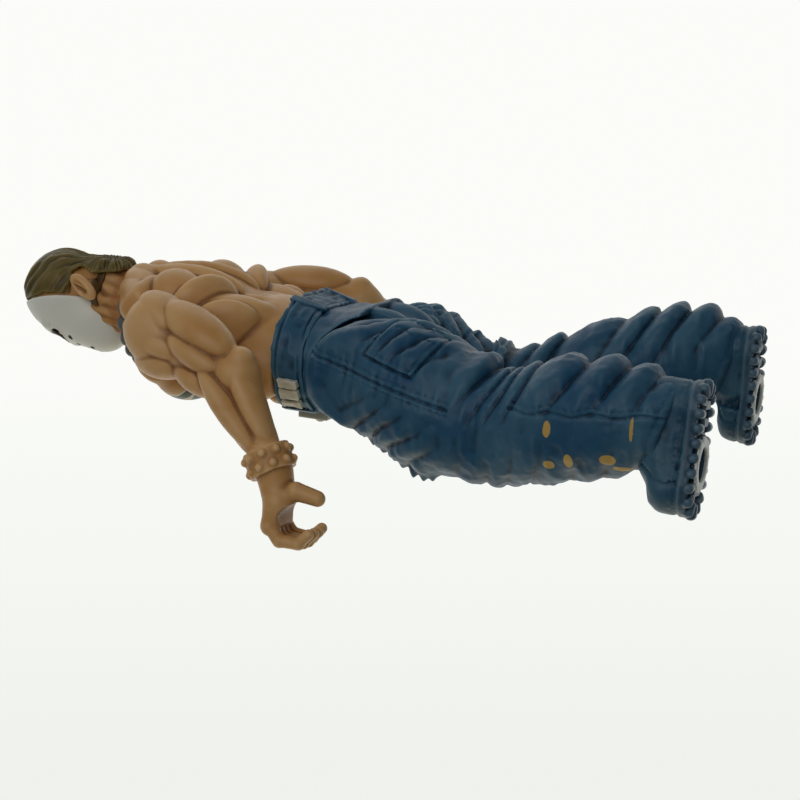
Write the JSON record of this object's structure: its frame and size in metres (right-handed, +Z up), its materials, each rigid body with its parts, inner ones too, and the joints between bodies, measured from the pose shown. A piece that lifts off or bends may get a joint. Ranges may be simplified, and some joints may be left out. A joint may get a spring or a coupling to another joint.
{
  "type": "articulated action figure",
  "caption": "Standing moulded plastic action figure with a bare muscular torso, plain mask, baggy trousers and lugged boots; waist, neck, shoulders, wrists and hips turn on pegs.",
  "frame": {"origin": "middle of the bounding box's bottom face, on the floor between the soles", "axes": "+Z up the figure as it stands, -Y the way it faces, +X to its own left"},
  "size_m": [0.0626, 0.0402, 0.1318],
  "materials": {
    "skin": "satin",
    "hair": "satin, painted",
    "mask": "satin, painted",
    "trousers": "semi-gloss",
    "boots": "semi-gloss",
    "soles": "semi-gloss",
    "metal_paint": "painted, worn",
    "dark_metal_paint": "painted",
    "strap_paint": "painted",
    "peg_plastic": "plain"
  },
  "bodies": {
    "pelvis": {"pelvis_front": "trousers", "pelvis_back": "trousers", "belt": "trousers", "belt_buckle": "metal_paint", "belt_side_plate": "metal_paint", "hip_axle": "peg_plastic", "waist_post": "peg_plastic"},
    "torso": {"torso_front": "skin", "torso_back": "skin", "neck_chain": "dark_metal_paint"},
    "head": {"head": "skin", "hair": "hair", "mask": "mask", "mask_strap": "strap_paint", "neck_peg": "peg_plastic"},
    "left_arm": {"left_arm": "skin", "left_shoulder_peg": "peg_plastic"},
    "right_arm": {"right_arm": "skin", "right_shoulder_peg": "peg_plastic"},
    "left_hand": {"left_hand": "skin", "left_wristband": "skin", "left_wrist_peg": "peg_plastic"},
    "right_hand": {"right_hand": "skin", "right_wristband": "skin", "right_wrist_peg": "peg_plastic"},
    "left_leg": {"left_leg": "trousers", "left_boot": "boots", "left_sole": "soles"},
    "right_leg": {"right_leg": "trousers", "right_boot": "boots", "right_sole": "soles"}
  },
  "joints": [
    {"name": "waist_swivel", "type": "hinge", "parent": "pelvis", "child": "torso", "pos_m": [0, 0.0074, 0.0754], "axis": [0, 0, 1], "range_deg": [-45, 45]},
    {"name": "neck_swivel", "type": "hinge", "parent": "torso", "child": "head", "pos_m": [0, 0.0105, 0.109], "axis": [0, 0, 1], "range_deg": [-70, 70]},
    {"name": "left_shoulder", "type": "hinge", "parent": "torso", "child": "left_arm", "pos_m": [0.015, 0.0105, 0.0926], "axis": [1, 0, 0], "range_deg": [-120, 50]},
    {"name": "right_shoulder", "type": "hinge", "parent": "torso", "child": "right_arm", "pos_m": [-0.015, 0.0105, 0.0926], "axis": [1, 0, 0], "range_deg": [-150, 20]},
    {"name": "left_wrist", "type": "hinge", "parent": "left_arm", "child": "left_hand", "pos_m": [0.027, -0.0066, 0.0685], "axis": [0.1758, -0.7875, -0.5907], "range_deg": [-90, 90]},
    {"name": "right_wrist", "type": "hinge", "parent": "right_arm", "child": "right_hand", "pos_m": [-0.027, 0.00367, 0.06385], "axis": [-0.1758, -0.5089, -0.8427], "range_deg": [-90, 90]},
    {"name": "left_hip", "type": "hinge", "parent": "pelvis", "child": "left_leg", "pos_m": [0.006, 0.0065, 0.059], "axis": [1, 0, 0], "range_deg": [-75, 30]},
    {"name": "right_hip", "type": "hinge", "parent": "pelvis", "child": "right_leg", "pos_m": [-0.006, 0.0065, 0.059], "axis": [1, 0, 0], "range_deg": [-75, 30]}
  ]
}
